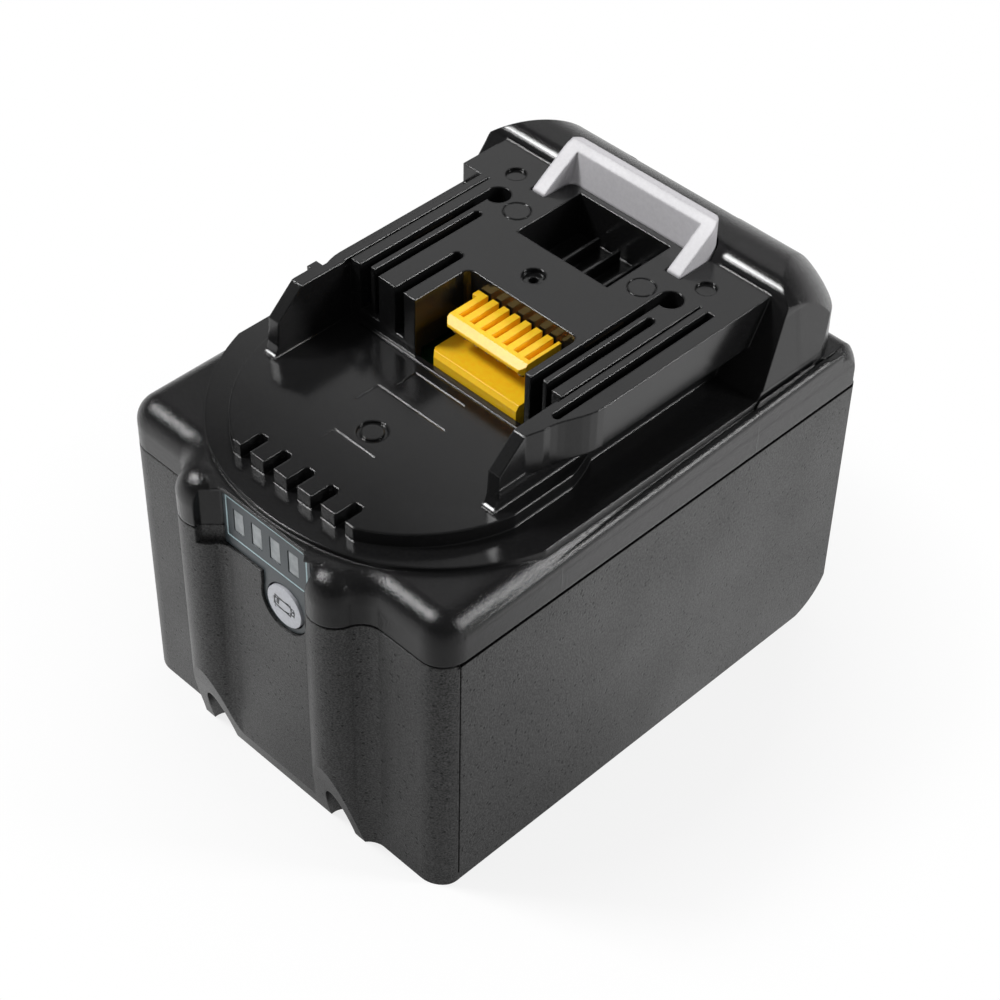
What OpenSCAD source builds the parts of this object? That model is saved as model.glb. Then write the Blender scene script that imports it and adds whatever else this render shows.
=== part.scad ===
// Slide-on power tool battery pack, tall version with fifteen round cells.
// Millimetres. The origin is the middle of the flat bottom, +Z is up.
// The latch end is at +Y and the charge gauge is at -Y.

/* [Case] */
// Width over the case sides
pack_w = 75; // [74:0.1:76]
// Length from the crests of the front lobes to the far end
pack_l = 105; // [104.6:0.1:106]
// Height of the parting line between the case halves
seam_z = 52.5; // [52:0.1:53]
// Wall thickness of both case halves
wall = 2.2; // [2:0.1:2.4]
// Rounding of the upper case shoulder
shoulder_r = 4.5; // [4:0.1:4.6]
// Radius of the two front lobes that house the case screws
lobe_r = 5; // [4.8:0.1:5.2]
// Distance of each front lobe from the middle
lobe_x = 15.2; // [15:0.1:15.5]

/* [Rails] */
// Height of the top face of the rails and the terminal block
rail_z = 76.8; // [76.6:0.1:77.2]
// Half width over the two rails
rail_x = 30.2; // [30:0.1:30.4]
// Height of the underside of the rails
rail_low_z = 68.7; // [68.4:0.1:69]
// Height of the deck between the rails
deck_z = 65.15; // [65:0.05:65.4]

/* [Latch] */
// Height of the tip of the latch hook
hook_z = 83.2; // [83:0.1:83.6]
// Travel of the latch when it is pressed down
latch_travel = 6.6; // [6.4:0.1:6.8]
// Room between the latch and the case around it
latch_gap = 0.35; // [0.3:0.05:0.4]

/* [Gauge] */
// Height of the middle of the check button
button_z = 44.9; // [44.6:0.1:45.2]
// Offset of the check button from the middle
button_x = 3.9; // [3.6:0.1:4.2]
// Radius of the check button
button_r = 4; // [3.8:0.1:4.1]
// Travel of the check button
button_travel = 0.6; // [0.5:0.1:0.7]

/* [Cells] */
// Room between neighbouring cells
cell_gap = 0.4; // [0.3:0.05:0.5]
// Room between the cell ends and the side walls, for the strips and sheets
end_room = 2.8; // [2.7:0.1:3]

/* [Hidden] */
$fn = 64;

half = pack_w / 2;
back_y = pack_l / 2;
lobe_y = -back_y + lobe_r;
face_y = lobe_y + 1.2;
channel_y = lobe_y - 1.3;
corner_r = 5;
// hollow fillets are this much larger, so that they cross the lobes cleanly
blend = 0.03;
far_r = 2;
end_r = 11;
fillet_o = 4;
fillet_i = 2.5;
fo_y = face_y - fillet_o;
fo_x = lobe_x + sqrt(pow(lobe_r + fillet_o, 2) - pow(fo_y - lobe_y, 2));
fi_y = channel_y - fillet_i;
fi_x = lobe_x - sqrt(pow(lobe_r + fillet_i, 2) - pow(fi_y - lobe_y, 2));
band_z = seam_z + 4.5;
top_z = band_z + shoulder_r;
plateau_z = top_z + 0.9;
panel_y = channel_y + 0.5;
hump_r = 13.5;
hump_y = back_y - hump_r;
hump_z = 65.5;
hump_x = half - 1.3;
screw_r = 1.5;
// three rows of five cells fill the case, so their size follows the case
cells_y0 = face_y + wall + 0.45;
cells_y1 = back_y - wall - 0.45;
cell_floor = wall + 0.1;
pitch_y = (cells_y1 - cells_y0) / 5;
pitch_z = (seam_z + 5.9 - cell_floor) / 3;
cell_d = min(pitch_y, pitch_z) - cell_gap;
cell_x = half - wall - end_room;
row_y = (cells_y0 + cells_y1) / 2;
row_z = cell_floor + cell_d / 2;
holder_x = cell_x + 0.7;
holder_top = row_z + 2 * pitch_z + cell_d / 2 + 1.2;
hook_x = 16.8;
arm_x = 14;
arm_y = 27.4;
hook_y0 = 34;
hook_y1 = 38.1;
arm_low = 75.3;
strip_x = holder_x + 0.05;
sheet_x = strip_x + 0.3;
// the gauge board stands just behind the front wall
board_y = face_y + 1.5;
switch_y = board_y - 0.6;

// Colours
dark = [0.16, 0.16, 0.17];
black = [0.1, 0.1, 0.11];
yellow = [0.98, 0.8, 0.12];
white = [0.86, 0.86, 0.9];
slate = [0.22, 0.26, 0.3];
pale = [0.82, 0.84, 0.86];
metal = [0.75, 0.74, 0.7];
copper = [0.8, 0.55, 0.35];
board_green = [0.08, 0.3, 0.16];
cell_green = [0.15, 0.45, 0.35];
red = [0.7, 0.08, 0.06];
blue = [0.06, 0.08, 0.3];
paper = [0.75, 0.7, 0.55];

// Helpers
module box(x0, x1, y0, y1, z0, z1) {
  translate([x0, y0, z0]) cube([x1 - x0, y1 - y0, z1 - z0]);
}
module rect(x0, x1, y0, y1) {
  translate([x0, y0]) square([x1 - x0, y1 - y0]);
}
module both() {
  children();
  mirror([1, 0, 0]) children();
}
module along_x(x0, x1) {
  translate([x0, 0, 0]) rotate([90, 0, 90]) linear_extrude(x1 - x0) children();
}
module along_y(y0, y1) {
  translate([0, y1, 0]) rotate([90, 0, 0]) linear_extrude(y1 - y0) children();
}
module up(z0, z1) {
  translate([0, 0, z0]) linear_extrude(z1 - z0) children();
}
module rod_x(x0, x1, y, z, r) {
  translate([x0, y, z]) rotate([0, 90, 0]) cylinder(r = r, h = x1 - x0);
}
module rod_y(x, y0, y1, z, r) {
  translate([x, y1, z]) rotate([90, 0, 0]) cylinder(r = r, h = y1 - y0);
}
module rod_z(x, y, z0, z1, r) {
  translate([x, y, z0]) cylinder(r = r, h = z1 - z0);
}

// Outline of the case seen from above, with lobes and their hollow fillets
module web(cx, cy, r) {
  difference() {
    polygon([[lobe_x, lobe_y], [cx, cy], [cx, face_y + 4], [lobe_x, face_y + 4]]);
    translate([cx, cy]) circle(r = r);
  }
}
module case_block(z0, z1) {
  up(z0, z1) rect(-half + corner_r, half - corner_r, face_y, face_y + corner_r + 1);
  up(z0, z1) rect(-half, half, face_y + corner_r, back_y - far_r);
  up(z0, z1) rect(-half + far_r, half - far_r, back_y - far_r - 1, back_y);
  up(z0, z1) rect(-fi_x - 1, fi_x + 1, channel_y, face_y + 4);
  both() {
    rod_z(half - corner_r, face_y + corner_r, z0, z1, corner_r);
    rod_z(half - far_r, back_y - far_r, z0, z1, far_r);
    rod_z(lobe_x, lobe_y, z0, z1, lobe_r);
    up(z0, z1) web(fo_x, fo_y, fillet_o + blend);
    up(z0, z1) web(fi_x, fi_y, fillet_i + blend);
  }
}
// Inner outline at a distance from the outer walls, lobes left solid
module inner(d) {
  rect(-half + corner_r, half - corner_r, face_y + d, back_y - d);
  rect(-half + d, half - d, face_y + corner_r, back_y - d);
  rect(-8.6, 8.6, channel_y + d, face_y + 6);
  for (s = [0, 1]) mirror([s, 0])
    translate([half - corner_r, face_y + corner_r]) circle(r = corner_r - d);
}
module posts(r) {
  intersection() {
    for (s = [-1, 1]) translate([s * lobe_x, lobe_y]) circle(r = r);
    rect(-half, half, -60, cells_y0);
  }
}
module panel_outline(grow) {
  rect(-10.3 - grow, 10.3 + grow, 49.3 - grow, 60.7 + grow);
  translate([button_x, button_z]) circle(r = button_r + 1.2 + grow);
  rect(button_x - button_r - 1 - grow, 10.3 + grow, button_z, 50);
}

module lower_case() {
  color(dark) difference() {
    intersection() {
      case_block(0, seam_z);
      // bottom edges of the sides
      along_y(-60, 60) {
        rect(-half, half, 1, 60);
        rect(-half + 1, half - 1, 0, 60);
        for (s = [-1, 1]) translate([s * (half - 1), 1]) circle(r = 1);
      }
      // long rounding under the far end
      along_x(-60, 60) {
        rect(-60, back_y, end_r, 60);
        rect(-60, back_y - end_r, 0, 60);
        translate([back_y - end_r, end_r]) circle(r = end_r);
      }
    }
    // steep bevel under the lobes
    along_x(-fo_x, fo_x) polygon([[-60, -1], [lobe_y - 0.1, -1], [lobe_y - 5, 18.4], [-60, 18.4]]);
    // room for the cells
    difference() {
      up(2, seam_z + 1) inner(wall);
      up(1, seam_z + 2) posts(lobe_r - 0.3);
      // ribs that carry the gauge board
      both() box(7.2, 8.7, -60, board_y - 0.1, 1, 38);
      // floor that follows the last cells up to the far wall
      along_x(-60, 60) difference() {
        polygon([[back_y - end_r, 1.9], [back_y, 1], [back_y, end_r + 1],
          [back_y - wall + 0.1, end_r + 1]]);
        translate([row_y + 2 * pitch_y, row_z]) circle(r = cell_d / 2 + 0.4);
      }
    }
    // screw holes through the lobes
    for (s = [-1, 1]) {
      rod_z(s * lobe_x, lobe_y, -1, 40, 3);
      rod_z(s * lobe_x, lobe_y, 39, seam_z + 1, screw_r + 0.2);
    }
    // seat of the gauge panel, open behind the lamps and the button
    along_y(channel_y - 2, panel_y + 1.1) panel_outline(0.15);
    along_y(channel_y - 2, channel_y + 4) {
      rect(-9, 8.5, 51, 59);
      translate([button_x, button_z]) circle(r = button_r + 0.95);
    }
    pocket();
    // shallow step and groove where the bare label field of each side begins
    both() box(half - 0.25, half + 1, -42.5, 60, -1, seam_z + 1);
    both() box(half - 0.6, half + 1, -42.5, -42.1, 2, seam_z + 1);
    // pockets for the tongues of the upper case
    both() box(10, 22, back_y - wall - 0.3, back_y - wall + 1.05, 48, seam_z + 1);
    both() box(10, 22, back_y - wall - 0.3, back_y - wall + 1.5, 48, 49.7);
  }
}

// Slanted mouth of the gauge pocket
module pocket() {
  up(49.3, 60.9) polygon([[-13.2, panel_y - 2.4], [-10.8, panel_y], [10.8, panel_y],
    [13.2, panel_y - 2.4], [13.2, panel_y - 6], [-13.2, panel_y - 6]]);
}

// Shoulder of the upper case
module side_profile() {
  rect(-half, half, seam_z, band_z);
  rect(-half + shoulder_r, half - shoulder_r, seam_z, top_z);
  for (s = [-1, 1]) translate([s * (half - shoulder_r), band_z]) circle(r = shoulder_r);
}
module end_profile() {
  rect(face_y, back_y, seam_z, band_z);
  rect(face_y + shoulder_r, back_y - shoulder_r, seam_z, top_z);
  translate([face_y + shoulder_r, band_z]) circle(r = shoulder_r);
  translate([back_y - shoulder_r, band_z]) circle(r = shoulder_r);
}
// Narrow raised edge along each side, it grows out of the shoulder
module side_rail(y0, y1) {
  r = 1.3;
  z = 58.9 - seam_z;
  translate([0, face_y, seam_z]) rotate([1.95, 0, 0]) along_y(y0 - face_y, y1 - face_y) {
    rect(33.5, half - r, 1, z);
    rect(33.5, half - blend, 1, z - r);
    translate([half - r - blend, z - r]) circle(r = r);
  }
}
// Ball shaped ends of the shoulder at the far corners
module far_corners() {
  r = 6.7;
  x = half - 5.5;
  y = back_y - 5.5;
  box(-x, x, 30, 60, 50, 70);
  box(-60, 60, 30, y, 50, 70);
  for (s = [-1, 1]) {
    rod_z(s * x, y, 50, band_z - 1, r);
    translate([s * x, y, band_z - 1]) sphere(r = r);
  }
}
module knob(r) {
  up_z = band_z - seam_z;
  translate([0, 0, seam_z]) rotate_extrude() {
    rect(0, r, 0, up_z);
    rect(0, r - shoulder_r, 0, up_z + shoulder_r);
    intersection() {
      translate([r - shoulder_r, up_z]) circle(r = shoulder_r);
      rect(0, r + 1, 0, up_z + shoulder_r + 1);
    }
  }
}
module trumpet(r) {
  translate([0, 0, seam_z - 1]) rotate_extrude() difference() {
    rect(0, r + shoulder_r, 0, top_z - seam_z + 2);
    translate([r + shoulder_r, band_z - seam_z + 1]) circle(r = shoulder_r);
    rect(r, r + shoulder_r + 1, -1, band_z - seam_z + 1);
  }
}
module shoulder() {
  difference() {
    union() {
      // long middle with round side edges
      along_y(face_y + corner_r, 44) side_profile();
      // front between the corners
      along_x(-half + corner_r, half - corner_r) intersection() {
        end_profile();
        rect(-60, 0, 0, 80);
      }
      both() side_rail(face_y + corner_r, 44);
      // far end
      intersection() {
        union() {
          along_y(43, 60) side_profile();
          both() side_rail(40, 60);
        }
        along_x(-60, 60) end_profile();
        case_block(seam_z, 70);
        far_corners();
      }
      for (s = [-1, 1]) translate([s * (half - corner_r), face_y + corner_r, 0]) knob(corner_r);
      for (s = [-1, 1]) translate([s * lobe_x, lobe_y, 0]) knob(lobe_r);
      for (s = [0, 1]) mirror([s, 0, 0]) {
        difference() {
          up(seam_z, top_z - 0.1) polygon([[lobe_x, lobe_y], [fo_x, fo_y], [fo_x, face_y + 8],
            [lobe_x, face_y + 8]]);
          translate([fo_x, fo_y, 0]) trumpet(fillet_o + blend);
        }
        difference() {
          up(seam_z, top_z - 0.1) polygon([[lobe_x, lobe_y], [fi_x, fi_y], [fi_x, face_y + 8],
            [lobe_x, face_y + 8]]);
          rod_z(fi_x, fi_y, seam_z - 1, 70, fillet_i + blend);
        }
      }
      box(-fi_x - 1, fi_x + 1, channel_y, face_y + 8, seam_z, top_z);
    }
    // thin dark line at the parting
    difference() {
      box(-60, 60, -60, 60, seam_z - 1, seam_z + 0.45);
      up(seam_z - 2, seam_z + 2) {
        rect(-half + 0.5, half - 0.5, face_y + corner_r, back_y - 0.5);
        rect(-half + corner_r, half - corner_r, face_y + 0.5, 0);
        rect(-9.5, 9.5, channel_y + 0.5, 0);
        posts(lobe_r - 0.5);
        for (s = [-1, 1]) translate([s * (half - corner_r), face_y + corner_r]) circle(r = corner_r - 0.5);
      }
    }
  }
}
module plateau() {
  x = half - 1.7;
  intersection() {
    rod_z(0, -4.5, 59.5, plateau_z, 43.6);
    rod_z(0, -11.3, 59, 70, 37.6);
    box(-x, x, -60, -11, 59, 70);
  }
  box(-x, x, -11.3, 32, 59.5, plateau_z);
}

// Rounded top edge of the leaning face in front of the hump
crown_r = 4.4;
crown = [for (i = [0:8]) let (a = 149.7 - i * 59.7 / 8)
  [38.4 + crown_r * cos(a), rail_z - 2.2 + crown_r * sin(a)]];
// Body of the hump behind the rails
module hump() {
  intersection() {
    // rounded back
    union() {
      rod_x(-40, 40, hump_y, hump_z, hump_r);
      box(-40, 40, 20, back_y, 58, hump_z);
    }
    // leaning front with its crown
    along_x(-50, 50) polygon(concat([[23.6, 57]], crown, [[60, hump_z + hump_r], [60, 57]]));
    // upright sides with rounded top edges
    along_y(10, 60) {
      polygon([[-hump_x - 0.2, 56], [hump_x + 0.2, 56], [hump_x, plateau_z], [34.2, 75], [-34.2, 75],
        [-hump_x, plateau_z]]);
      rect(-30, 30, 70, 79.3);
      for (s = [-1, 1]) translate([s * 29.95, 75.05]) circle(r = 4.25);
    }
    // wide corners seen from above
    union() {
      box(-50, 50, 10, hump_y, 55, 90);
      box(-hump_x + hump_r, hump_x - hump_r, 10, 60, 55, 90);
      for (s = [-1, 1]) rod_z(s * (hump_x - hump_r + 0.1), hump_y + 0.1, 55, 90, hump_r);
    }
    // soft far shoulders
    union() {
      box(-18.5, 18.5, 5, 70, 50, 95);
      for (s = [-1, 1]) translate([s * 18.5, 33, 59.5]) sphere(r = 23);
    }
  }
}

// Edge of the rails seen from above
module rail_edge() {
  // the edge swings out to its full width in a smooth curve
  swing = [for (i = [0:8]) [27.4 + (rail_x - 27.4) * (1 - cos(22.5 * i)) / 2, -15.2 + 1.3 * i]];
  polygon(concat([[20, -18.4], [26.4, -18.5]], swing, [[rail_x, 36], [20, 36]]));
}
module tower() {
  // wall of each rail down to the plateau
  for (s = [0, 1]) mirror([s, 0, 0]) intersection() {
    box(24.1, 26.6, -25, 34, 61, rail_low_z + 0.5);
    along_x(20, 30) arm_side();
  }
  // flanges
  for (s = [0, 1]) mirror([s, 0, 0]) intersection() {
    up(rail_low_z, rail_z) rail_edge();
    box(24.1, 40, -30, 60, 60, 90);
    along_x(20, 40) arm_side();
  }
  // front part of each arm, in front of the flanges
  for (s = [0, 1]) mirror([s, 0, 0]) intersection() {
    box(24.1, 26.5, -25, -14, 61, rail_z);
    along_x(20, 30) arm_side();
  }
  // wide part and the block between the rails
  box(-rail_x, rail_x, 24, 34.6, rail_low_z, rail_z);
  box(-26.6, 26.6, -7.8, 34, 61, rail_z);
}
module arm_side() {
  polygon([[-25.8, 60], [-25.6, deck_z], [-24.5, deck_z + 0.6], [-24, 67.2], [-23.7, 71.9],
    [-18.4, rail_z], [40, rail_z], [40, 60]]);
}
module deck() {
  difference() {
    intersection() {
      rod_z(0, -16.3, 61, deck_z, 29.7);
      box(-29, 29, -42.5, 24, 60, 70);
    }
    // notches with blunt corners
    for (i = [-2:2]) up(plateau_z, 70) translate([i * 5.5, -38.3])
      polygon([[-1.15, -12], [-1.15, -0.6], [-0.65, 0], [0.65, 0], [1.15, -0.6], [1.15, -12]]);
  }
}

module upper_case() {
  color(black) difference() {
    union() {
      shoulder();
      plateau();
      deck();
      hump();
      tower();
      // small post beside the right finger
      box(22.3, 23.6, -9.5, -7.5, plateau_z - 1, rail_z - 2.2);
      // tongues that hook into the lower case at the far end
      both() box(10.2, 21.8, back_y - wall + 0.1, back_y - wall + 0.9, 48.2, seam_z + 2);
      both() box(10.2, 21.8, back_y - wall + 0.2, back_y - wall + 1.35, 48.2, 49.5);
    }
    // room for the top of the cell holders
    difference() {
      up(seam_z - 5, band_z + 0.2) inner(wall);
      up(seam_z - 6, 61) posts(lobe_r - 0.3);
    }
    difference() {
      up(band_z, holder_top + 0.2) inner(wall + 0.9);
      up(seam_z - 6, 70) posts(lobe_r);
    }
    // bores for the case screws
    for (s = [-1, 1]) rod_z(s * lobe_x, lobe_y, seam_z - 1, 59, screw_r + 0.05);
    // gauge seat
    along_y(channel_y - 2, panel_y + 1.1) panel_outline(0.15);
    along_y(channel_y - 2, channel_y + 4) rect(-9, 8.5, 51, 59);
    pocket();
    // room for the main board under the deck
    box(-21, 21, -36, 27, holder_top, 62.9);
    box(-23.4, 23.4, -6.3, 26.5, 60, 66);
    // room under the terminal fingers
    terminal_openings();
    rail_cuts();
    block_details();
    latch_room();
    deck_lines();
    // groove between the plateau and the raised side edge
    both() box(half - 1.7, half - 1.35, -22, 47, 61.1, 64);
  }
}

// Slots, mouth and window in the block between the rails
module key_slot(s, long_in) {
  // s is the side, long_in tells which half runs on to the round end
  long_x = s * (long_in ? 18.25 : 20.95);
  short_x = s * (long_in ? 20.95 : 18.25);
  rod_z(s * 19.6, 22, 67.3, 80, 2.25);
  box(long_x - 0.9, long_x + 0.9, -9, 22, 67.3, 80);
  box(short_x - 0.9, short_x + 0.9, -9, 15.5, 67.3, 80);
  rod_z(short_x, 15.5, 67.3, 80, 0.9);
  box(s * 19.6 - 2.25, s * 19.6 + 2.25, -9, -7, 67.3, 80);
}
module terminal_openings() {
  key_slot(-1, false);
  key_slot(1, true);
  // third slot
  box(-13.5, -11.4, -9, 5.25, 67.3, 80);
  rod_z(-12.45, 5.25, 67.3, 80, 1.05);
  // mouth of the signal connector
  up(deck_z - 4, 80) {
    rect(-8.8, 16.1, -7.25, 2.8);
    rect(-7.3, 14.6, -7, 4.3);
    translate([-7.3, 2.8]) circle(r = 1.5);
    translate([14.6, 2.8]) circle(r = 1.5);
  }
  box(-8.8, 16.1, -9, -7, deck_z, 80);
  // openings in the slot floors for the terminal legs and above the leads
  both() box(17.6, 21.6, 4, 15, 60, 70);
  box(-21.3, -17.8, -6.3, -1, 60, 70);
  box(-13.4, -11.5, -6.3, -1, 60, 70);
}
module rail_cuts() {
  // thin grooves beside the outer fingers
  both() box(23.9, 24.4, -9, 24.2, rail_z - 1.2, 80);
  // left rail, outer strip cut down to the lower step
  mirror([1, 0, 0]) {
    box(25.8, 40, -12.35, 24.1, 73, 80);
    box(26.55, 40, -20, -14.35, 73, 80);
    box(27.4, 40, -14.4, -12.3, 73, 80);
  }
  // right rail, blind slot
  box(25.7, 27.3, -11.4, 24.1, 70, 80);
  rod_z(26.5, -11.4, 70, 80, 0.8);
}
module block_details() {
  // window with three sunken ribs
  difference() {
    box(-10.3, 10.3, 17, 32.4, 68.4, 80);
    for (i = [-1:1]) box(i * 4.7 - 0.35, i * 4.7 + 0.35, 20, 31.4, 60, 71);
  }
  // shallow screw seat and peg seats
  rod_z(0, 10.5, rail_z - 0.9, 80, 2.05);
  rod_z(0, 10.5, rail_z - 2.2, 80, 0.8);
  for (s = [-1, 1]) {
    ring_line(s * 14.2, 21, 2.45);
    rod_z(s * 21.7, 28.4, rail_z - 0.5, 80, 1.8);
  }
}
module ring_line(x, y, r) {
  difference() {
    rod_z(x, y, rail_z - 0.25, 80, r);
    rod_z(x, y, 60, 81, r - 0.18);
  }
}
module deck_lines() {
  // fine moulded lines on the deck
  box(-7.8, -7.6, -22, -17, deck_z - 0.2, 70);
  box(-7.8, 7.8, -17.2, -17, deck_z - 0.2, 70);
  box(-5.7, -5.5, -14.9, -10.6, deck_z - 0.2, 70);
  box(-5.7, 5.7, -10.8, -10.6, deck_z - 0.2, 70);
  box(-4.7, -4.5, -32.8, -29.3, deck_z - 0.2, 70);
  box(-4.7, 4.7, -29.5, -29.3, deck_z - 0.2, 70);
  difference() {
    rod_z(0, -25.5, deck_z - 0.4, 70, 2.6);
    rod_z(0, -25.5, 60, 71, 1.9);
  }
  // line in front of the sill of the terminal block
  box(-21.5, 15.9, -8.75, -8.5, deck_z - 0.35, 66);
}

// Room for the latch inside the hump, with its openings
module latch_room() {
  g = latch_gap;
  along_x(-24.6, 24.6) {
    rect(33.6, back_y - wall, 59, hump_z);
    intersection() {
      translate([hump_y, hump_z]) circle(r = hump_r - wall);
      rect(33.6, 60, hump_z - 1, 90);
    }
  }
  // opening around the hook, deep enough for its travel
  up(arm_low - latch_travel - g, 90) hook_outline(g);
  // opening and thumb scoop for the release button
  box(-12.4, 12.4, back_y - 6, back_y + 1, 53.2, 72.6);
  rod_x(-12.4, 12.4, hump_y + 21 * cos(37), hump_z + 21 * sin(37), 9);
}

module gauge_panel() {
  color(slate) difference() {
    along_y(panel_y, panel_y + 1) panel_outline(0);
    rod_y(button_x, -60, -40, button_z, button_r + 0.3);
    for (i = [0:3]) box(lamp_x(i) - 1.2, lamp_x(i) + 1.2, -60, -40, 53.4, 58.1);
    // fine frame line around the lamp windows
    along_y(panel_y - 1, panel_y + 0.12) difference() {
      rect(-9.6, 9.6, 51.4, 60.1);
      rect(-9.3, 9.3, 51.7, 59.8);
    }
  }
}
function lamp_x(i) = -6.6 + i * 4.3;
module light_guide() {
  color(pale) union() {
    for (i = [0:3]) box(lamp_x(i) - 1.1, lamp_x(i) + 1.1, panel_y + 0.1, panel_y + 1.3, 53.5, 58);
    box(-8.4, 7.9, panel_y + 1.1, panel_y + 1.8, 52.9, 58.6);
  }
}
module gauge_board() {
  color(board_green) box(-8.2, 8.2, board_y, board_y + 0.8, button_z - 6.5, seam_z + 6.3);
}
module gauge_lamps() {
  color(pale) for (i = [0:3]) box(lamp_x(i) - 0.8, lamp_x(i) + 0.8, board_y - 0.7, board_y, 55, 56.6);
}
module check_switch() {
  color(metal) union() {
    box(button_x - 2.2, button_x + 2.2, switch_y + 0.15, board_y, button_z - 2.2, button_z + 2.2);
    rod_y(button_x, switch_y, switch_y + 0.3, button_z, 1.4);
  }
}
module check_button() {
  color(pale) difference() {
    union() {
      rod_y(button_x, panel_y - 0.35, panel_y + 1.8, button_z, button_r);
      rod_y(button_x, panel_y + 1.3, panel_y + 1.8, button_z, button_r + 0.65);
      rod_y(button_x, panel_y + 1.6, switch_y - button_travel - 0.05, button_z, 1.2);
    }
    // outline of a battery as a generic mark
    along_y(-60, panel_y - 0.2) difference() {
      translate([button_x, button_z]) rotate(8) mark(0);
      translate([button_x, button_z]) rotate(8) mark(0.28);
    }
  }
}
module mark(d) {
  rect(-2.4 + d, 1.7 - d, -1.15 + d, 1.15 - d);
  rect(1.2, 2.5 - d, -0.55 + d, 0.55 - d);
}

// Latch
// Hook seen from above, a bar with an arm at each end, made larger by a gap
module hook_outline(g) {
  r = 3;
  outer = [for (i = [0:6]) [hook_x - r + (r + g) * cos(15 * i), hook_y1 - r + (r + g) * sin(15 * i)]];
  inner = [for (i = [0:4]) [arm_x - 1.6 - g + 1.6 * cos(22.5 * i), hook_y0 - 1.6 - g + 1.6 * sin(22.5 * i)]];
  side = concat([[arm_x - g, arm_y - g], [hook_x + g, arm_y - g]], outer);
  polygon(concat(side, [for (i = [len(side) - 1:-1:0]) [-side[i][0], side[i][1]]],
    [for (p = inner) [-p[0], p[1]]], [for (i = [len(inner) - 1:-1:0]) inner[i]]));
}
module latch_hook() {
  color(white) union() {
    intersection() {
      up(66, 90) hook_outline(0);
      // leaning arms and top, flat underside over the slots
      along_x(-20, 20) polygon([[arm_y - 1, arm_low], [arm_y - 1, rail_z - 1], [arm_y + 0.2, rail_z + 0.2],
        [36, hook_z - 0.5], [36.6, hook_z], [37.7, hook_z], [hook_y1 + 1, hook_z - 1.2], [hook_y1 + 1, 67.4],
        [hook_y0 - 0.1, 67.4], [hook_y0 - 0.1, arm_low]]);
      // leaning front face of the bar
      union() {
        box(arm_x - 0.1, 20, 20, 40, 60, 90);
        box(-20, 0.1 - arm_x, 20, 40, 60, 90);
        along_x(-arm_x, arm_x) polygon([[hook_y0 - 1.7, 60], [hook_y0 - 1.7, rail_z - 1], [hook_y0, rail_z],
          [hook_y0 + 1.6, hook_z + 1], [50, hook_z + 1], [50, 60]]);
      }
    }
    // carriage that slides inside the hump
    box(-17.2, 17.2, hook_y0, 45, 67, 68.8);
    // wings that sit on the springs
    both() box(16, 23.6, 36.4, 41.4, 73.4, 75.2);
    both() box(15.6, 17.6, 36.4, 40, 68, 75.2);
  }
}
module release_button() {
  color(black) difference() {
    union() {
      along_x(-12, 12) polygon([[45.1, 66.4], [45.1, 71.8], [49.8, 71.8], [51.2, 69.5],
        [51.9, 66], [51.9, 60.3], [50.5, 60.3], [50.5, 66.4]]);
    }
    for (i = [0:3]) along_x(-10.5, 10.5) translate([52.3, 61.6 + i * 1.5]) circle(r = 0.6);
  }
}
module latch_springs() {
  // plain coils, closed rings joined by their touching turns
  color(metal) for (s = [-1, 1]) translate([s * 20.9, 38.9, holder_top + 0.05]) coil(2.0, 0.32, 14.1, 9);
}
module coil(r, w, h, turns) {
  // rings with a thin post on alternating sides stand for the coil
  step = (h - 2 * w) / (turns - 1);
  for (i = [0:turns - 1]) translate([0, 0, w + i * step])
    rotate_extrude() translate([r, 0]) circle(r = w, $fn = 24);
  for (i = [0:turns - 2]) rotate([0, 0, i * 180]) translate([r, 0, w + i * step])
    cylinder(r = w * 0.8, h = step, $fn = 24);
}

// Terminals
module terminal_block() {
  color(yellow) difference() {
    union() {
      // lower slab
      along_x(-6.2, 13.6) polygon([[-7, 66.6], [-6.4, 67.5], [4, 67.5], [4, 62.5], [-6.4, 62.5], [-7, 63]]);
      // back wall
      box(-5.1, 12.7, 1.6, 4, 62.5, 74);
      // upper slab with its bevelled lip
      along_x(-5.1, 12.7) polygon([[-5, 72.6], [-4.9, 73], [-3.6, 74], [4, 74], [4, 72], [-4.6, 72]]);
      // ear and feet
      box(-6.1, -5, 2.6, 4, 71.6, 74);
      box(-6.2, 13.6, 1.6, 4, 61.9, 64);
    }
    for (i = [0:6]) box(comb_x(i) - 0.55, comb_x(i) + 0.55, -2.7, 5, 72.7, 75);
    // passages for the contacts
    for (i = [0:6]) box(comb_x(i) - 0.45, comb_x(i) + 0.45, -4.4, 1.8, 71.2, 72.4);
    // cut off front corners of both slabs
    up(71, 75) {
      polygon([[-5.3, -5.2], [-4, -5.2], [-5.3, -3.9]]);
      polygon([[12.9, -5.2], [11.6, -5.2], [12.9, -3.9]]);
    }
    up(62, 68) polygon([[-6.4, -7.1], [-5.2, -7.1], [-6.4, -5.6]]);
  }
}
function comb_x(i) = -3.3 + i * 2.467;
module signal_contacts() {
  color(metal) for (i = [0:6]) along_x(comb_x(i) - 0.3, comb_x(i) + 0.3)
    polygon([[1.5, 67.55], [1.5, 71.95], [-4.3, 71.95], [-4.3, 71.4], [-3.6, 70.8], [-2.9, 71.45],
      [1.1, 71.45], [1.1, 67.55]]);
}
module blade_pair(s) {
  // two spring leaves on a foot that stands on the board
  for (k = [17.75, 21.15]) box(min(s * k, s * (k + 0.3)), max(s * k, s * (k + 0.3)), 5, 14, 62.9, 75);
  box(min(s * 17.75, s * 21.45), max(s * 17.75, s * 21.45), 5, 14, 62.5, 62.9);
  box(min(s * 18.6, s * 20.6), max(s * 18.6, s * 20.6), 7, 12, 61.9, 62.6);
}
module positive_terminal() {
  color(copper) blade_pair(-1);
}
module negative_terminal() {
  color(copper) blade_pair(1);
}
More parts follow.
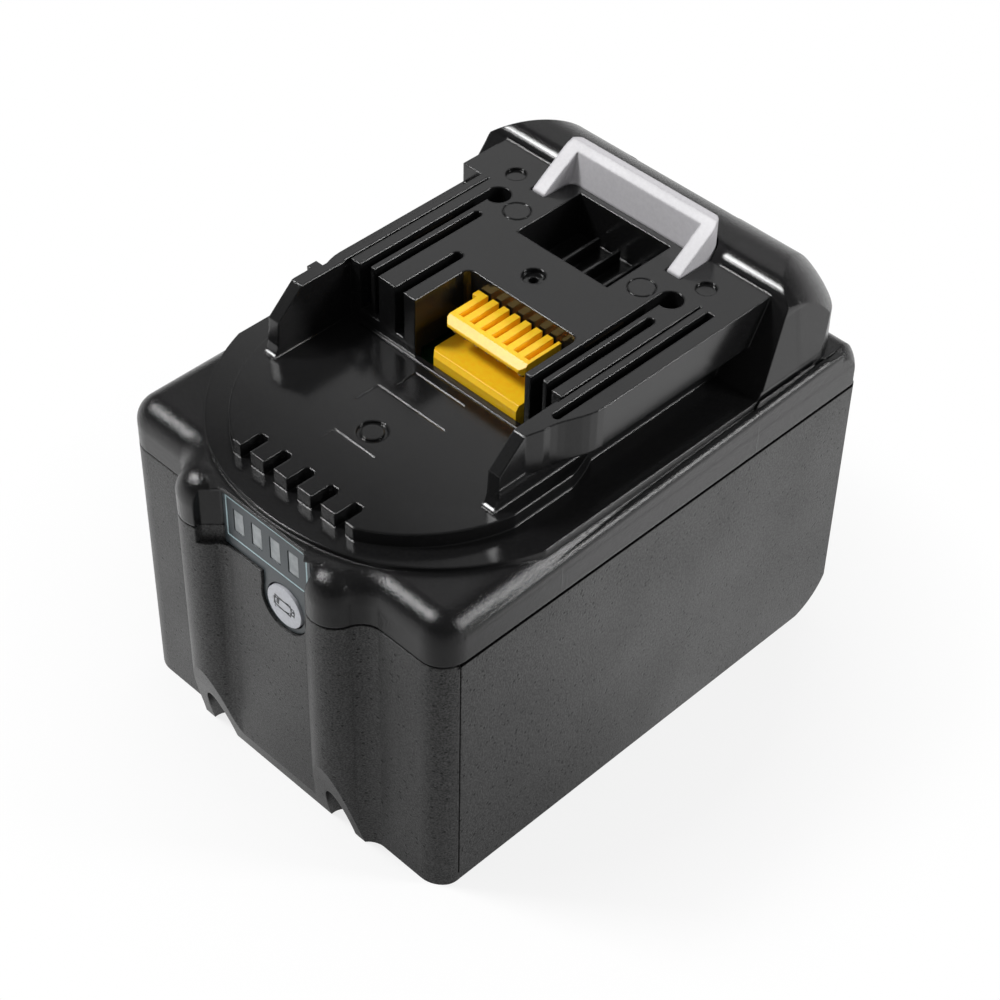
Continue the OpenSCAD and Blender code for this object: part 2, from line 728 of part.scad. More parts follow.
module main_board() {
  color(board_green) difference() {
    box(-20.6, 20.6, -35.6, 26.4, 60.3, 61.9);
    for (s = [-1, 1]) rod_z(s * 17, -30, 60, 63, 1.3);
  }
}
module board_parts() {
  color(black) {
    box(-6, 6, -24, -14, 61.9, 62.8);
    box(-15, -10, -24, -17, 61.9, 62.8);
    box(10, 15, -24, -17, 61.9, 62.8);
    for (i = [0:3]) box(-10 + i * 6, -6 + i * 6, 12, 18, 61.9, 64);
    rod_z(-14, 20, 61.9, 65.4, 2);
    rod_z(14, 20, 61.9, 65.4, 2);
  }
}
module positive_lead() {
  color(red) wire(-12.45);
}
module negative_lead() {
  color(blue) wire(-19.2);
}
module wire(x) {
  // bent wire, its elbow is a ball
  rod_y(x, -4.5, 3.6, 64.4, 0.75);
  translate([x, -4.5, 64.4]) sphere(r = 0.752);
  rod_z(x, -4.5, 61.95, 64.4, 0.748);
}

// Cells, running across the pack
module cell(y, z) {
  rod_x(-cell_x + 0.4, cell_x - 0.4, y, z, cell_d / 2);
  rod_x(-cell_x, cell_x, y, z, cell_d / 2 - 0.9);
}
module cell_row(k) {
  for (i = [-2:2]) cell(row_y + i * pitch_y, row_z + k * pitch_z);
}
module cells_lower() {
  color(cell_green) cell_row(0);
}
module cells_middle() {
  color(cell_green) cell_row(1);
}
module cells_upper() {
  color(cell_green) cell_row(2);
}
module holder() {
  x0 = cell_x - 14.1;
  difference() {
    union() {
      box(x0, holder_x, cells_y0 + 0.25, cells_y1 - 0.25, cell_floor - 0.2, band_z - 0.2);
      box(x0, holder_x, cells_y0 + 2, cells_y1 - 2, band_z - 1, holder_top);
    }
    for (k = [0:2]) for (i = [-2:2]) {
      rod_x(10, cell_x + 0.1, row_y + i * pitch_y, row_z + k * pitch_z, cell_d / 2 + 0.05);
      rod_x(10, 40, row_y + i * pitch_y, row_z + k * pitch_z, 6.6);
    }
    // far corners follow the floor of the case
    along_x(10, 40) polygon([[back_y - end_r - 0.6, 1.6], [60, 1.6], [60, end_r + 1.5],
      [back_y - wall - 0.1, end_r + 1.5]]);
  }
}
module cell_holder_right() {
  color(black) holder();
}
module cell_holder_left() {
  color(black) mirror([1, 0, 0]) holder();
}
module strip_set(joins) {
  // nickel strips that join the cells in groups of three
  for (j = joins) box(strip_x, strip_x + 0.2, row_y + j[0] * pitch_y - 4, row_y + j[1] * pitch_y + 4,
    row_z - 4, row_z + 2 * pitch_z + 4);
}
module strips_right() {
  color(metal) strip_set([[-2, -1], [0, 1], [2, 2]]);
}
module strips_left() {
  color(metal) mirror([1, 0, 0]) strip_set([[-2, -2], [-1, 0], [1, 2]]);
}
module sheet() {
  color(paper) box(sheet_x, sheet_x + 0.45, cells_y0 + 2.7, cells_y1 - 4, cell_floor + 1.7, seam_z + 2.5);
}
module insulator_right() {
  sheet();
}
module insulator_left() {
  mirror([1, 0, 0]) sheet();
}
module sense_strip() {
  // flat flexible strip from the cell strips to the main board
  color(copper) {
    box(-17.5, 17.5, -12, -8, 59.35, 59.55);
    box(-3, 3, -12, -8, 59.55, 60.25);
  }
}
module case_screws() {
  color(metal) for (s = [-1, 1]) translate([s * lobe_x, lobe_y, 0]) difference() {
    union() {
      translate([0, 0, 37.6]) cylinder(r = 2.8, h = 2.3);
      translate([0, 0, 37.6]) cylinder(r = screw_r, h = 20);
    }
    translate([0, 0, 37]) cylinder(r = 1.3, h = 2, $fn = 6);
  }
}
module board_screws() {
  color(metal) for (s = [-1, 1]) translate([s * 17, -30, 0]) {
    translate([0, 0, 59.45]) cylinder(r = 2, h = 0.8);
    translate([0, 0, 59.45]) cylinder(r = 1.1, h = 3.4);
  }
}

lower_case();
upper_case();
gauge_panel();
light_guide();
gauge_board();
gauge_lamps();
check_switch();
check_button();
latch_hook();
release_button();
latch_springs();
terminal_block();
signal_contacts();
positive_terminal();
negative_terminal();
main_board();
board_parts();
positive_lead();
negative_lead();
cells_lower();
cells_middle();
cells_upper();
cell_holder_left();
cell_holder_right();
strips_left();
strips_right();
insulator_left();
insulator_right();
sense_strip();
case_screws();
board_screws();
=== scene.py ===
import math

import bpy
import bmesh
from mathutils import Matrix, Vector


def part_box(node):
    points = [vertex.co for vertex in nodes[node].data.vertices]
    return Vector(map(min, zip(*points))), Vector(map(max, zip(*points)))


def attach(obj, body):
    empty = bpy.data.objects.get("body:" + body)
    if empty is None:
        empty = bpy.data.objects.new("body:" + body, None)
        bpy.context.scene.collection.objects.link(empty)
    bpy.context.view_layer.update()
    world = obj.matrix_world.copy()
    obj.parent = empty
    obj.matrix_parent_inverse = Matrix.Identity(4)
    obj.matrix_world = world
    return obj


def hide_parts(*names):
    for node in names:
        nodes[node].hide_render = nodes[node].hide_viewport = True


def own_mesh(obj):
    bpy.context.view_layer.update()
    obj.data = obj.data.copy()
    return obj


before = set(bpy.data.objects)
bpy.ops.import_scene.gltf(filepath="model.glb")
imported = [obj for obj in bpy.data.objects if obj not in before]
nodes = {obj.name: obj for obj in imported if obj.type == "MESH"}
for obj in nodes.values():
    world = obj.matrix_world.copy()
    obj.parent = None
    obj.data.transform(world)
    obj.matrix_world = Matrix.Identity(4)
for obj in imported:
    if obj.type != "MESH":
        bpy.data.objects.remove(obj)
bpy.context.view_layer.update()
MM = 0.001
UP = Vector((0, 0, 1))

# Camera
# fitted to the photograph: place, lens and sensor in mm, angles in degrees
CAM_PLACE = Vector((213.12, -216.80, 322.12)) * MM
CAM_AZIMUTH = 43.995
CAM_ELEVATION = 43.508
CAM_ROLL = 1.42
CAM_LENS = 87.356
CAM_SENSOR = 36
CAM_NEAREST = 0.01  # metres


def add_camera():
    angles = (CAM_AZIMUTH, CAM_ELEVATION, CAM_ROLL)
    azimuth, elevation, roll = (math.radians(angle) for angle in angles)
    flat = math.cos(elevation)
    back = Vector((math.sin(azimuth) * flat, -math.cos(azimuth) * flat, math.sin(elevation)))
    level = UP.cross(back).normalized()
    upright = back.cross(level)
    right = level * math.cos(roll) + upright * math.sin(roll)
    up = upright * math.cos(roll) - level * math.sin(roll)
    turn = Matrix((right, up, back)).transposed().to_4x4()
    data = bpy.data.cameras.new("camera")
    data.lens = CAM_LENS
    data.sensor_width = CAM_SENSOR
    data.clip_start = CAM_NEAREST
    camera = bpy.data.objects.new("camera", data)
    camera.matrix_world = Matrix.Translation(CAM_PLACE) @ turn
    bpy.context.collection.objects.link(camera)
    bpy.context.scene.camera = camera


add_camera()

# Shader nodes
# the colour sockets of a Mix node share their names with its other sockets
MIX_FIRST, MIX_SECOND, MIX_RESULT = 6, 7, 2
BEVEL_SAMPLES = 6
PIT_CORE = 0.6  # share of a pit's radius that has its full depth


def new_material(name):
    mat = bpy.data.materials.new(name)
    mat.use_nodes = True
    tree = mat.node_tree
    return mat, tree, tree.nodes["Principled BSDF"]


def vector_node(tree, operation, vector):
    node = tree.nodes.new("ShaderNodeVectorMath")
    node.operation = operation
    tree.links.new(vector, node.inputs[0])
    return node


def place_map(tree):
    """Object coordinates in millimetres, the same for every piece."""
    coord = tree.nodes.new("ShaderNodeTexCoord")
    scale = vector_node(tree, "SCALE", coord.outputs["Object"])
    scale.inputs["Scale"].default_value = 1 / MM
    return scale.outputs["Vector"]


def axes(tree, vector):
    """X, Y and Z of a vector."""
    parts = tree.nodes.new("ShaderNodeSeparateXYZ")
    tree.links.new(vector, parts.inputs[0])
    return tuple(parts.outputs)


def noise(tree, vector, scale, detail=2.0, rough=0.5):
    node = tree.nodes.new("ShaderNodeTexNoise")
    node.inputs["Scale"].default_value = scale
    node.inputs["Detail"].default_value = detail
    node.inputs["Roughness"].default_value = rough
    tree.links.new(vector, node.inputs["Vector"])
    return node.outputs["Fac"]


def ramp(tree, source, start, end, before=0.0, after=1.0):
    """before up to start, after from end on, and a straight line between them."""
    node = tree.nodes.new("ShaderNodeMapRange")
    node.inputs["From Min"].default_value = start
    node.inputs["From Max"].default_value = end
    node.inputs["To Min"].default_value = before
    node.inputs["To Max"].default_value = after
    tree.links.new(source, node.inputs["Value"])
    return node.outputs["Result"]


def calc(tree, operation, first, second=0.0):
    """Math node on two sockets, or on a socket and a number."""
    node = tree.nodes.new("ShaderNodeMath")
    node.operation = operation
    for socket, given in zip(node.inputs, (first, second)):
        if isinstance(given, float):
            socket.default_value = given
        else:
            tree.links.new(given, socket)
    return node.outputs[0]


def mix(tree, share, first, second):
    node = tree.nodes.new("ShaderNodeMix")
    node.data_type = "RGBA"
    tree.links.new(share, node.inputs["Factor"])
    node.inputs[MIX_FIRST].default_value = (*first, 1)
    node.inputs[MIX_SECOND].default_value = (*second, 1)
    return node.outputs[MIX_RESULT]


def mix_shader(tree, share, first, second):
    joined = tree.nodes.new("ShaderNodeMixShader")
    for socket, source in zip(joined.inputs, (share, first, second)):
        tree.links.new(source, socket)
    return joined.outputs[0]


def bumps(tree, height, strength, distance, edge=0.0):
    """Normal of a bump map, on top of edges rounded by the radius edge."""
    bump = tree.nodes.new("ShaderNodeBump")
    bump.inputs["Strength"].default_value = strength
    bump.inputs["Distance"].default_value = distance
    tree.links.new(height, bump.inputs["Height"])
    if edge:
        bevel = tree.nodes.new("ShaderNodeBevel")
        bevel.samples = BEVEL_SAMPLES
        bevel.inputs["Radius"].default_value = edge
        tree.links.new(bevel.outputs["Normal"], bump.inputs["Normal"])
    return bump.outputs["Normal"]


def pits(tree, vector, scale, size, share):
    """Scattered small pits: 1 in a pit, 0 beside it."""
    cells = tree.nodes.new("ShaderNodeTexVoronoi")
    cells.inputs["Scale"].default_value = scale
    tree.links.new(vector, cells.inputs["Vector"])
    dot = ramp(tree, cells.outputs["Distance"], size * PIT_CORE, size, 1.0, 0.0)
    pick = tree.nodes.new("ShaderNodeSeparateColor")
    tree.links.new(cells.outputs["Color"], pick.inputs[0])
    chosen = calc(tree, "LESS_THAN", pick.outputs[0], share)
    return calc(tree, "MULTIPLY", dot, chosen)


# Materials
# places in mm, each as the start and the end of a change
SEAM_Z = 52.5
SHADOW_Z = (SEAM_Z - 0.75, SEAM_Z - 0.6)  # painted shadow line of the sides, from here up
SHADOW_X = (36.9, 37.1)                   # on the side walls alone
SHADOW_Y = (-43.0, -42.5)                 # and behind the front corners
POLISH_Z = (61.6, 62.0)                   # polished from here up
POLISH_Y = (36.2, 37.4)                   # and grained again from here back
MOULD_LINES_Y = (-20.7, 25.5)
MOULD_LINE_HALF = (0.05, 0.14)
MOULD_LINE_Z = (58.4, 59.0)               # the lines end here

# parts of a noise's range that a ramp spreads out
WIDE = (0.3, 0.7)
NARROW = (0.35, 0.65)
SLOW = 0.05                               # scale of the slow change in gloss

# depth of a bump and radius of an edge, in metres
SMOOTH, SATIN, DULL = 0.00001, 0.00002, 0.00003
EDGE = 0.00025
METAL_DARK = 0.86                         # darkest share of a metal's colour


def plastic(name, low, high, rough, grain, depth, edge=EDGE):
    """Moulded plastic: fine grain in the colour and the bump, slow change in gloss."""
    mat, tree, shader = new_material(name)
    place = place_map(tree)
    fine = noise(tree, place, grain, detail=3.0, rough=0.6)
    slow = noise(tree, place, SLOW)
    gloss = ramp(tree, slow, *WIDE, rough - 0.04, rough + 0.05)
    colour = mix(tree, ramp(tree, fine, *NARROW), low, high)
    tree.links.new(colour, shader.inputs["Base Color"])
    tree.links.new(gloss, shader.inputs["Roughness"])
    tree.links.new(bumps(tree, fine, 0.6, depth, edge), shader.inputs["Normal"])
    return mat


def metal(name, colour, rough):
    mat, tree, shader = new_material(name)
    fine = noise(tree, place_map(tree), 2.0, detail=4.0, rough=0.6)
    low = tuple(channel * METAL_DARK for channel in colour)
    tinted = mix(tree, ramp(tree, fine, *WIDE), low, colour)
    gloss = ramp(tree, fine, *WIDE, rough - 0.06, rough + 0.08)
    tree.links.new(tinted, shader.inputs["Base Color"])
    tree.links.new(gloss, shader.inputs["Roughness"])
    tree.links.new(bumps(tree, fine, 0.3, SATIN), shader.inputs["Normal"])
    shader.inputs["Metallic"].default_value = 1.0
    return mat


def seam_shadow(tree, vector):
    """1 on the painted shadow line of the sides just below the seam, 0 elsewhere."""
    x, y, z = axes(tree, vector)
    beside = ramp(tree, calc(tree, "ABSOLUTE", x), *SHADOW_X)
    side = calc(tree, "MULTIPLY", beside, ramp(tree, y, *SHADOW_Y))
    return calc(tree, "MULTIPLY", ramp(tree, z, *SHADOW_Z), side)


def lower_plastic():
    """Grained walls with fine dark pits, and a painted shadow line along the seam of the sides."""
    mat, tree, shader = new_material("case_grained")
    place = place_map(tree)
    fine = noise(tree, place, 3.2, detail=2.0, rough=0.6)
    slow = noise(tree, place, 0.06)
    hole = pits(tree, place, scale=0.7, size=0.20, share=0.6)
    # painted shadow: the sides turn black just below the seam, as if the gap were wider
    edge = seam_shadow(tree, place)
    dark = calc(tree, "MAXIMUM", hole, edge)
    blend = calc(tree, "SUBTRACT", ramp(tree, fine, *WIDE), dark)
    colour = mix(tree, blend, (0.0, 0.0, 0.0), (0.064, 0.064, 0.064))
    gloss = ramp(tree, slow, *WIDE, 0.36, 0.46)
    height = calc(tree, "SUBTRACT", fine, calc(tree, "MULTIPLY", hole, 0.8))
    # the painted shadow line is a rough black metal, because a black plastic still shines
    tree.links.new(edge, shader.inputs["Metallic"])
    tree.links.new(calc(tree, "MAXIMUM", gloss, edge), shader.inputs["Roughness"])
    tree.links.new(colour, shader.inputs["Base Color"])
    normal = bumps(tree, height, strength=0.9, distance=0.00007, edge=0.0003)
    tree.links.new(normal, shader.inputs["Normal"])
    return mat


def polished(tree, vector):
    """1 on the deck, arms and plateau, 0 on the grained shoulder and hump."""
    _, y, z = axes(tree, vector)
    return calc(tree, "MULTIPLY", ramp(tree, z, *POLISH_Z), ramp(tree, y, *POLISH_Y, 1.0, 0.0))


def mould_lines(tree, vector):
    """1 on the two fine mould lines across the upper band of the case, 0 elsewhere."""
    _, y, z = axes(tree, vector)
    away = [calc(tree, "ABSOLUTE", calc(tree, "SUBTRACT", y, line)) for line in MOULD_LINES_Y]
    lines = [ramp(tree, distance, *MOULD_LINE_HALF, 1.0, 0.0) for distance in away]
    low = ramp(tree, z, *MOULD_LINE_Z, 1.0, 0.0)
    return calc(tree, "MULTIPLY", calc(tree, "MAXIMUM", *lines), low)


def upper_plastic():
    """Black moulding: polished deck and plateau, grained shoulder and hump."""
    mat, tree, shader = new_material("case_semi_gloss")
    place = place_map(tree)
    fine = noise(tree, place, 2.6, detail=3.0, rough=0.7)
    slow = noise(tree, place, SLOW)
    smooth = polished(tree, place)
    line = mould_lines(tree, place)
    blend = calc(tree, "MAXIMUM", ramp(tree, fine, 0.35, 0.75, 0.0, 0.4), line)
    colour = mix(tree, blend, (0.006, 0.006, 0.0062), (0.018, 0.018, 0.0185))
    gloss = calc(tree, "ADD", ramp(tree, slow, *WIDE, 0.0, 0.05),
                 ramp(tree, smooth, 0.0, 1.0, 0.19, 0.15))
    grain = calc(tree, "MULTIPLY", fine, ramp(tree, smooth, 0.0, 1.0, 1.0, 0.05))
    height = calc(tree, "ADD", grain, calc(tree, "MULTIPLY", line, 0.5))
    tree.links.new(colour, shader.inputs["Base Color"])
    tree.links.new(gloss, shader.inputs["Roughness"])
    normal = bumps(tree, height, strength=1.0, distance=0.00008, edge=0.00045)
    tree.links.new(normal, shader.inputs["Normal"])
    return mat


MATS = {
    "lower": lower_plastic(),
    "upper": upper_plastic(),
    "panel": plastic("gauge_slate", (0.034, 0.044, 0.050), (0.046, 0.057, 0.064),
                     rough=0.34, grain=3.0, depth=SMOOTH),
    "window": plastic("lamp_window", (0.24, 0.26, 0.27), (0.34, 0.36, 0.37),
                      rough=0.35, grain=0.5, depth=SMOOTH),
    "button": plastic("button_light", (0.44, 0.45, 0.48), (0.50, 0.51, 0.55),
                      rough=0.30, grain=2.0, depth=SMOOTH),
    "white": plastic("latch_white", (0.52, 0.51, 0.53), (0.56, 0.55, 0.57),
                     rough=0.36, grain=1.6, depth=SMOOTH, edge=0.0006),
    "release": plastic("release_black", (0.012, 0.012, 0.013), (0.018, 0.018, 0.019),
                       rough=0.38, grain=2.0, depth=DULL),
    "yellow": plastic("terminal_yellow", (1.0, 0.56, 0.012), (1.0, 0.63, 0.018),
                      rough=0.32, grain=1.4, depth=SMOOTH, edge=0.00018),
    "chip": plastic("chip_black", (0.01, 0.01, 0.01), (0.02, 0.02, 0.02),
                    rough=0.5, grain=2.0, depth=SATIN),
    "holder": plastic("holder_black", (0.012, 0.012, 0.012), (0.02, 0.02, 0.02),
                      rough=0.5, grain=2.0, depth=SATIN),
    "board": plastic("board_green", (0.006, 0.05, 0.02), (0.01, 0.075, 0.03),
                     rough=0.35, grain=0.9, depth=SMOOTH),
    "sleeve": plastic("cell_sleeve", (0.014, 0.015, 0.017), (0.02, 0.022, 0.025),
                      rough=0.35, grain=0.4, depth=SMOOTH),
    "sheet": plastic("insulating_sheet", (0.42, 0.36, 0.22), (0.5, 0.43, 0.28),
                     rough=0.7, grain=1.5, depth=DULL),
    "red": plastic("lead_red", (0.42, 0.012, 0.01), (0.5, 0.02, 0.015),
                   rough=0.35, grain=2.0, depth=SMOOTH),
    "blue": plastic("lead_blue", (0.01, 0.015, 0.11), (0.015, 0.022, 0.15),
                    rough=0.35, grain=2.0, depth=SMOOTH),
    "lamp": plastic("lamp_body", (0.7, 0.7, 0.62), (0.8, 0.8, 0.72),
                    rough=0.3, grain=2.0, depth=SMOOTH),
    "line": plastic("gauge_line", (0.34, 0.47, 0.50), (0.42, 0.55, 0.58),
                    rough=0.4, grain=2.0, depth=SMOOTH, edge=0.0),
    "ink": plastic("icon_ink", (0.035, 0.037, 0.040), (0.05, 0.052, 0.056),
                   rough=0.4, grain=2.0, depth=SMOOTH, edge=0.0),
    "steel": metal("steel", (0.60, 0.60, 0.61), rough=0.32),
    "brass": metal("contact_brass", (0.72, 0.52, 0.28), rough=0.28),
    "nickel": metal("nickel", (0.66, 0.64, 0.60), rough=0.3),
    "copper": metal("copper", (0.72, 0.38, 0.22), rough=0.3),
}
NODE_MATS = {
    "lower_case": "lower", "upper_case": "upper", "gauge_panel": "panel",
    "light_guide": "window", "gauge_board": "board", "gauge_lamps": "lamp",
    "check_switch": "steel", "check_button": "button", "latch_hook": "white",
    "release_button": "release", "latch_springs": "steel", "terminal_block": "yellow",
    "signal_contacts": "brass", "positive_terminal": "brass", "negative_terminal": "brass",
    "main_board": "board", "board_parts": "chip", "positive_lead": "red",
    "negative_lead": "blue", "cells_lower": "sleeve", "cells_middle": "sleeve",
    "cells_upper": "sleeve", "cell_holder_left": "holder", "cell_holder_right": "holder",
    "strips_left": "nickel", "strips_right": "nickel", "insulator_left": "sheet",
    "insulator_right": "sheet", "sense_strip": "copper", "case_screws": "steel",
    "board_screws": "steel",
}
for name, obj in nodes.items():
    obj.data.materials.clear()
    obj.data.materials.append(MATS[NODE_MATS[name]])


# Mesh helpers
def mesh_object(name, bm, mat, body="case"):
    data = bpy.data.meshes.new(name)
    bm.normal_update()
    bm.to_mesh(data)
    bm.free()
    obj = bpy.data.objects.new(name, data)
    bpy.context.collection.objects.link(obj)
    data.materials.append(MATS[mat])
    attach(obj, body)
    return obj


# Latch springs
# sizes in mm: COIL is the radius to the middle of the wire, WIRE the radius of the wire
SPRING_X = 20.9
SPRING_Y = 38.9
SPRING_COIL = 2.0
SPRING_WIRE = 0.32
SPRING_TURNS = 9
SPRING_CLOSED = 2.2 * SPRING_WIRE  # rise of the closed turn at each end
TURN_STEPS = 32
WIRE_SIDES = 10


def helix_point(t, low, height):
    """Middle of the wire at share t of its length, with one closed turn at each end."""
    turn = 2 * math.pi * SPRING_TURNS * t
    open_share = min(max((t * SPRING_TURNS - 1) / (SPRING_TURNS - 2), 0.0), 1.0)
    ends = min(t * SPRING_TURNS, 1.0) + min(max((t - 1) * SPRING_TURNS + 1, 0.0), 1.0)
    open_height = height - 2 * SPRING_WIRE - 2 * SPRING_CLOSED
    z = SPRING_WIRE + SPRING_CLOSED * ends + open_height * open_share
    return Vector((SPRING_COIL * math.cos(turn), SPRING_COIL * math.sin(turn), low + z))


def wire_ring(bm, point, along):
    """Ring of vertices round the wire, square to its direction."""
    across = UP.cross(along).normalized()
    over = along.cross(across)
    angles = [2 * math.pi * i / WIRE_SIDES for i in range(WIRE_SIDES)]
    spokes = [across * math.cos(angle) + over * math.sin(angle) for angle in angles]
    return [bm.verts.new((point + SPRING_WIRE * spoke) * MM) for spoke in spokes]


def latch_coils():
    """Two helical springs that take the place of the latch springs."""
    low, high = (corner.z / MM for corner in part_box("latch_springs"))
    steps = TURN_STEPS * SPRING_TURNS
    bm = bmesh.new()
    for side in (-1, 1):
        foot = Vector((side * SPRING_X, SPRING_Y, 0))
        path = [helix_point(i / steps, low, high - low) + foot for i in range(steps + 1)]
        rings = []
        for i, point in enumerate(path):
            along = (path[min(i + 1, steps)] - path[max(i - 1, 0)]).normalized()
            rings.append(wire_ring(bm, point, along))
        for ring, above in zip(rings, rings[1:]):
            for i in range(WIRE_SIDES):
                j = (i + 1) % WIRE_SIDES
                bm.faces.new((ring[i], ring[j], above[j], above[i])).smooth = True
        bm.faces.new(rings[0])
        bm.faces.new(rings[-1])
    bmesh.ops.recalc_face_normals(bm, faces=bm.faces)
    coils = mesh_object("latch_coils", bm, "steel")
    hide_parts("latch_springs")
    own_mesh(coils)


latch_coils()

# Printed marks of the gauge
# PANEL_Y and BUTTON_Y are the fronts of the panel and of the button, in mm; a mark
# stands PROUD of that front and reaches DEEP into its groove
PANEL_Y = -48.3
PANEL_PROUD, PANEL_DEEP = 0.02, 0.11
BUTTON_Y = PANEL_Y - 0.35
BUTTON_PROUD, OUTLINE_DEEP, LEVEL_DEEP = 0.015, 0.14, 0.05
BUTTON_X = 3.9
BUTTON_Z = 44.9
BUTTON_TURN = math.radians(-8)
FRAME_LINE = (-9.6, 51.4, 9.6, 60.1)      # left, bottom, right and top
LEVEL = (-1.85, -0.62, -1.2, 0.62)        # the same, from the middle of the button
LINE_WIDTH = 0.3
BATTERY_LINE = 0.28
BATTERY_LEFT, BATTERY_RIGHT, BATTERY_TIP = -2.4, 1.7, 2.5
BATTERY_HALF, TIP_HALF = 1.15, 0.55       # half heights


def band(outer, inner, y_front, y_back):
    """Closed flat band between two outlines of as many points, in the plane of the gauge."""
    bm = bmesh.new()
    rings = [[bm.verts.new(Vector((x, y, z)) * MM) for x, z in line]
             for y in (y_front, y_back) for line in (outer, inner)]
    front_outer, front_inner, back_outer, back_inner = rings
    for i in range(len(outer)):
        j = (i + 1) % len(outer)
        for ring, other in ((front_outer, front_inner), (back_inner, back_outer),
                            (back_outer, front_outer), (front_inner, back_inner)):
            bm.faces.new((ring[i], ring[j], other[j], other[i]))
    bmesh.ops.recalc_face_normals(bm, faces=bm.faces)
    return bm


def rectangle(left, bottom, right, top):
    return [(left, bottom), (right, bottom), (right, top), (left, top)]


def rectangle_pair(left, bottom, right, top):
    """Outer and inner outline of a thin rectangular frame."""
    inner = rectangle(left + LINE_WIDTH, bottom + LINE_WIDTH, right - LINE_WIDTH, top - LINE_WIDTH)
    return rectangle(left, bottom, right, top), inner


def battery(inset):
    """Outline of a lying battery with its tip at the right, drawn in by inset."""
    left, right, tip = BATTERY_LEFT + inset, BATTERY_RIGHT - inset, BATTERY_TIP - inset
    body, nub = BATTERY_HALF - inset, TIP_HALF - inset
    return [(left, -body), (right, -body), (right, -nub), (tip, -nub),
            (tip, nub), (right, nub), (right, body), (left, body)]


def on_button(points):
    """Points of the button's own plane, turned and set on its middle."""
    cosine, sine = math.cos(BUTTON_TURN), math.sin(BUTTON_TURN)
    return [(BUTTON_X + x * cosine - z * sine, BUTTON_Z + x * sine + z * cosine)
            for x, z in points]


def gauge_frame():
    """Pale line in the fine groove around the lamp windows."""
    outer, inner = rectangle_pair(*FRAME_LINE)
    bm = band(outer, inner, PANEL_Y - PANEL_PROUD, PANEL_Y + PANEL_DEEP)
    mesh_object("gauge_frame_line", bm, "line")


def battery_mark():
    """Generic outline of a battery and its level, inked on the check button."""
    marks = (
        ("battery_outline", battery(0.0), battery(BATTERY_LINE), OUTLINE_DEEP),
        ("battery_level", *rectangle_pair(*LEVEL), LEVEL_DEEP),
    )
    for name, outer, inner, deep in marks:
        bm = band(on_button(outer), on_button(inner), BUTTON_Y - BUTTON_PROUD, BUTTON_Y + deep)
        mesh_object(name, bm, "ink", "button")


gauge_frame()
battery_mark()

# Stage and light
# lengths in metres
FLOOR_HALF = 3
FLOOR_PALE = 0.9
FLOOR_ROUGH = 0.9
FADE_FROM_MIDDLE = (0.055, 0.10)   # where the floor turns from nearly to fully white
FADE_SHARE = (0.80, 1.0)
DARK_SIDE = (0.69, -0.72, 0.0)     # direction of the unlit room in reflections
DARK_SPREAD = (0.35, 0.98)         # of the cosine to that direction
DARK_LEFT = 0.35                   # brightness that is left there
WORLD_SOFT = 0.45
CEILING = 0.10
CEILING_RISE = (0.0, 0.20)
MIDDLE = (0, 0, 0.04)
LAMPS = (
    # name, place, aim, width and height, watts
    ("front_left", (-0.46, -0.32, 0.76), MIDDLE, (0.20, 0.20), 5.8),
    ("right_back", (0.70, 0.50, 0.46), MIDDLE, (0.18, 0.30), 4.8),
    ("back_panel", (-0.45, 0.64, 0.60), (-0.45, 0.64, 0.0), (0.8, 0.56), 1.1),
)


def shaded_side(tree, vector):
    """Reflections grow darker towards the front right, where the room is not lit."""
    toward = vector_node(tree, "DOT_PRODUCT", vector)
    toward.inputs[1].default_value = DARK_SIDE
    return ramp(tree, toward.outputs["Value"], *DARK_SPREAD, 1.0, DARK_LEFT)


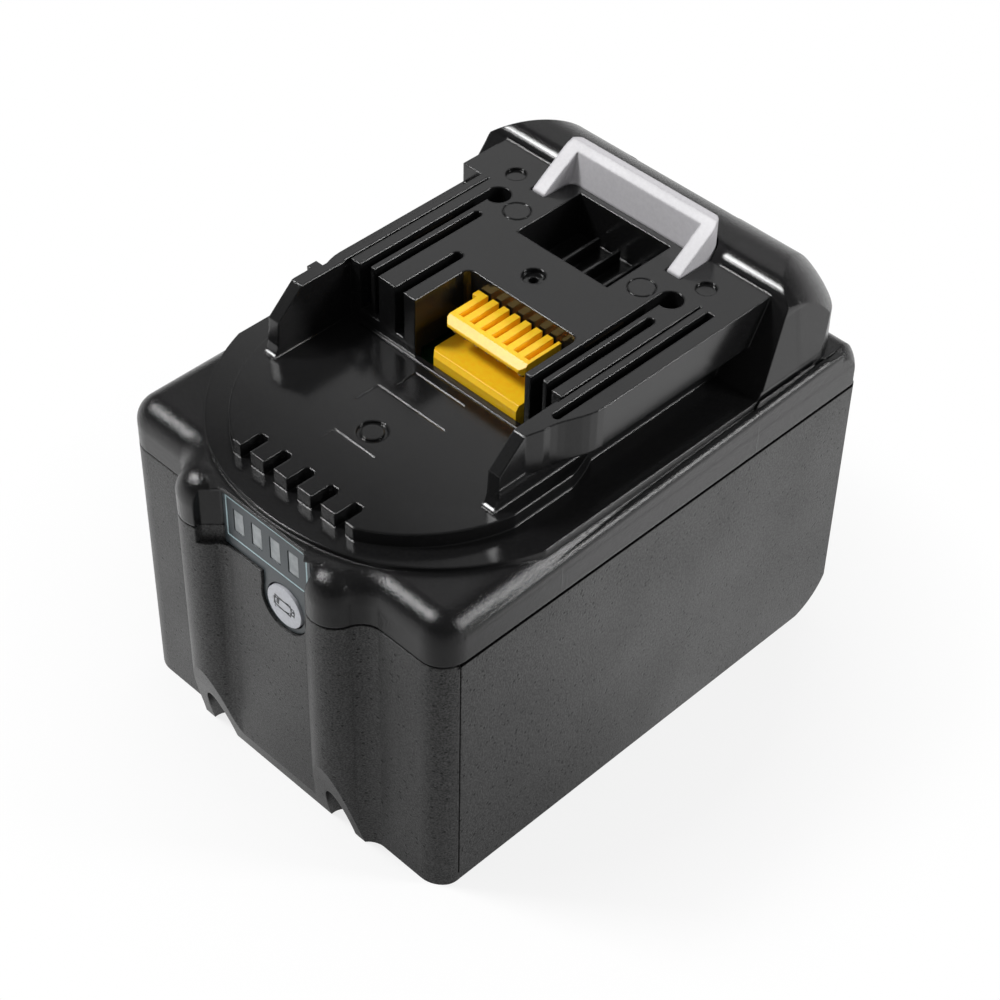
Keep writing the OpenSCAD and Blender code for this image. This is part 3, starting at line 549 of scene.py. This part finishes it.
def add_stage():
    """Pale floor: white far out, and with some of its shadow near the object."""
    bm = bmesh.new()
    bmesh.ops.create_grid(bm, x_segments=1, y_segments=1, size=FLOOR_HALF)
    data = bpy.data.meshes.new("floor")
    bm.to_mesh(data)
    bm.free()
    floor = bpy.data.objects.new("floor", data)
    bpy.context.collection.objects.link(floor)
    mat, tree, shader = new_material("floor_pale")
    shader.inputs["Base Color"].default_value = (FLOOR_PALE, FLOOR_PALE, FLOOR_PALE, 1)
    shader.inputs["Roughness"].default_value = FLOOR_ROUGH
    shader.inputs["Specular IOR Level"].default_value = 0.0
    data.materials.append(mat)
    out = tree.nodes["Material Output"]
    path = tree.nodes.new("ShaderNodeLightPath")
    place = tree.nodes.new("ShaderNodeTexCoord").outputs["Object"]
    away = vector_node(tree, "LENGTH", place).outputs["Value"]
    unit = vector_node(tree, "NORMALIZE", place).outputs["Vector"]
    bright = calc(tree, "MAXIMUM", path.outputs["Is Camera Ray"], shaded_side(tree, unit))
    glow = tree.nodes.new("ShaderNodeEmission")
    tree.links.new(bright, glow.inputs["Strength"])
    fade = ramp(tree, away, *FADE_FROM_MIDDLE, *FADE_SHARE)
    seen = calc(tree, "MULTIPLY", path.outputs["Is Camera Ray"], fade)
    shown = calc(tree, "MAXIMUM", seen, path.outputs["Is Glossy Ray"])
    joined = mix_shader(tree, shown, shader.outputs[0], glow.outputs[0])
    tree.links.new(joined, out.inputs["Surface"])


def add_world():
    """White to the camera, soft light around, and a darker ceiling in the reflections."""
    world = bpy.data.worlds.new("studio")
    bpy.context.scene.world = world
    world.use_nodes = True
    tree = world.node_tree
    tree.nodes.clear()
    out = tree.nodes.new("ShaderNodeOutputWorld")
    path = tree.nodes.new("ShaderNodeLightPath")
    way = tree.nodes.new("ShaderNodeTexCoord").outputs["Generated"]
    white, soft, studio = (tree.nodes.new("ShaderNodeBackground") for _ in range(3))
    white.inputs["Strength"].default_value = 1.0
    soft.inputs["Strength"].default_value = WORLD_SOFT
    height = ramp(tree, axes(tree, way)[2], *CEILING_RISE, 1.0, CEILING)
    room = calc(tree, "MULTIPLY", height, shaded_side(tree, way))
    tree.links.new(room, studio.inputs["Strength"])
    camera, through, mirror = (path.outputs[f"Is {kind} Ray"]
                               for kind in ("Camera", "Transmission", "Glossy"))
    seen = calc(tree, "MAXIMUM", camera, through)
    lit = mix_shader(tree, mirror, soft.outputs[0], studio.outputs[0])
    shown = mix_shader(tree, seen, lit, white.outputs[0])
    tree.links.new(shown, out.inputs["Surface"])


def add_lamp(name, place, aim, size, power):
    data = bpy.data.lights.new(name, "AREA")
    data.shape = "RECTANGLE"
    data.size, data.size_y = size
    data.energy = power
    lamp = bpy.data.objects.new(name, data)
    lamp.location = place
    turn = (Vector(aim) - Vector(place)).to_track_quat("-Z", "Y")
    lamp.rotation_euler = turn.to_euler()
    bpy.context.collection.objects.link(lamp)


add_stage()
add_world()
for lamp_row in LAMPS:
    add_lamp(*lamp_row)

bpy.context.scene.view_settings.view_transform = "Standard"
